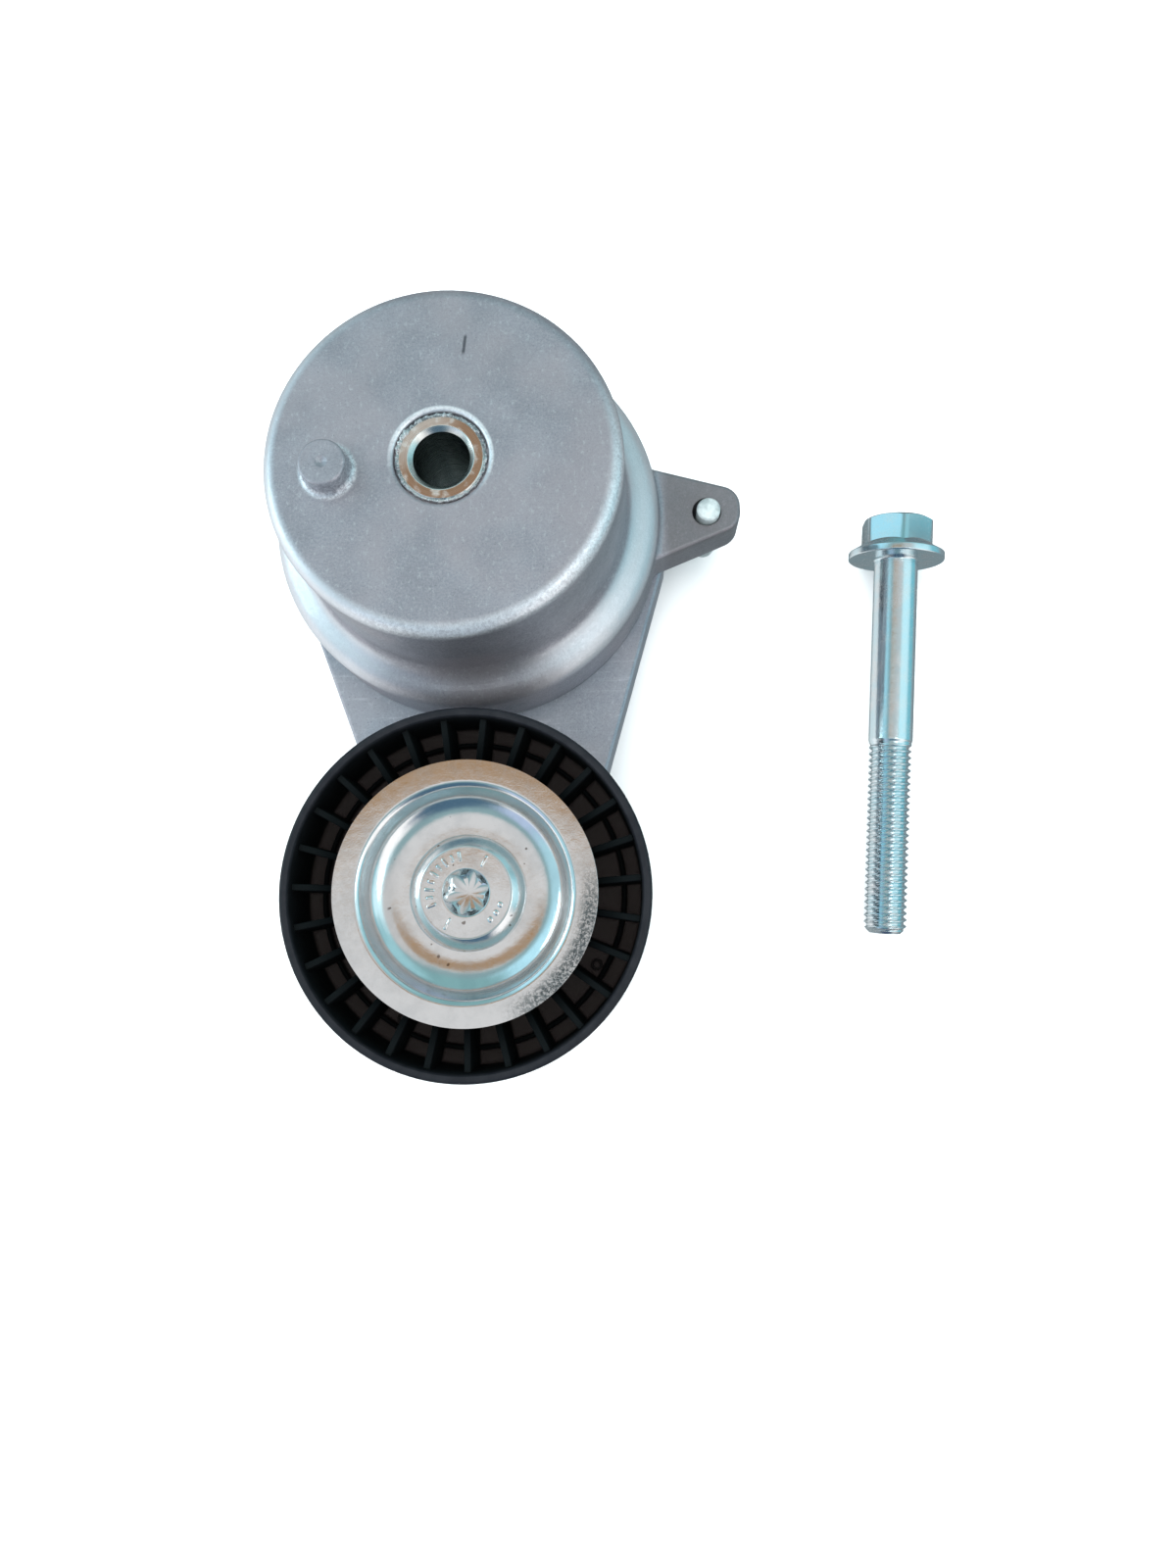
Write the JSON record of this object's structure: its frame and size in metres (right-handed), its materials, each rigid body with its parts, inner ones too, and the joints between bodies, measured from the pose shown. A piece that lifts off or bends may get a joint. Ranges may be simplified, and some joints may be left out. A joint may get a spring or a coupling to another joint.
{
  "type": "belt tensioner",
  "caption": "Spring-loaded belt tensioner: cast cup housing on a steel pivot tube, swinging arm, smooth ribbed idler pulley on a ball bearing, lock pin and loose flange bolt.",
  "frame": {"origin": "centre of the spring housing's flat engine face, on the pivot axis", "axes": "+Z out of the engine face towards the engine, arm and pulley along -Y, ear with the lock pin along +X"},
  "size_m": [0.1515, 0.1611, 0.0717],
  "materials": {
    "cast_aluminium": "satin",
    "arm_casting": "satin",
    "zinc_steel": "gloss",
    "turned_steel": "satin",
    "bearing_steel": "gloss",
    "spring_steel": "satin",
    "black_nylon": "matte",
    "bearing_polymer": "matte",
    "friction_polymer": "matte",
    "seal_rubber": "matte"
  },
  "bodies": {
    "housing": {"spring_housing": "cast_aluminium", "pivot_tube": "turned_steel", "front_plate": "zinc_steel", "spring_seat": "bearing_polymer", "torsion_spring": "spring_steel"},
    "arm": {"tension_arm": "arm_casting", "front_bush": "bearing_polymer", "rear_bush": "bearing_polymer", "thrust_washer": "bearing_polymer", "damping_shoe": "friction_polymer", "shoe_band": "turned_steel", "pulley_bolt": "zinc_steel", "dust_cover": "zinc_steel", "dust_shield": "zinc_steel", "bearing_inner_ring": "bearing_steel"},
    "pulley": {"pulley": "black_nylon", "bearing_outer_ring": "bearing_steel", "bearing_seal_front": "seal_rubber", "bearing_seal_rear": "seal_rubber"},
    "ball_set": {"bearing_balls": "bearing_steel", "bearing_cage": "turned_steel"},
    "lock_pin": {"lock_pin": "turned_steel"},
    "mounting_bolt": {"mounting_bolt": "zinc_steel"}
  },
  "joints": [
    {"name": "arm_pivot", "type": "hinge", "parent": "housing", "child": "arm", "pos_m": [0, 0, -0.0475], "axis": [0, 0, 1], "range_deg": [0, 28], "stiffness_Nm_per_rad": 12, "springref_deg": -57.3, "deforming": ["torsion_spring"]},
    {"name": "pulley_spin", "type": "hinge", "parent": "arm", "child": "pulley", "pos_m": [0, -0.0828, -0.023], "axis": [0, 0, 1], "continuous": true},
    {"name": "ball_spin", "type": "hinge", "parent": "arm", "child": "ball_set", "pos_m": [0, -0.0828, -0.023], "axis": [0, 0, 1], "continuous": true},
    {"name": "pin_pull", "type": "slide", "parent": "housing", "child": "lock_pin", "axis": [0, 0, 1], "range_m": [0, 0.035]},
    {"name": "bolt_lift", "type": "slide", "parent": "housing", "child": "mounting_bolt", "axis": [0, 0, 1], "range_m": [0, 0.05]}
  ],
  "couplings": [
    {"joint": "ball_spin", "follows": "pulley_spin", "ratio": 0.6184}
  ]
}
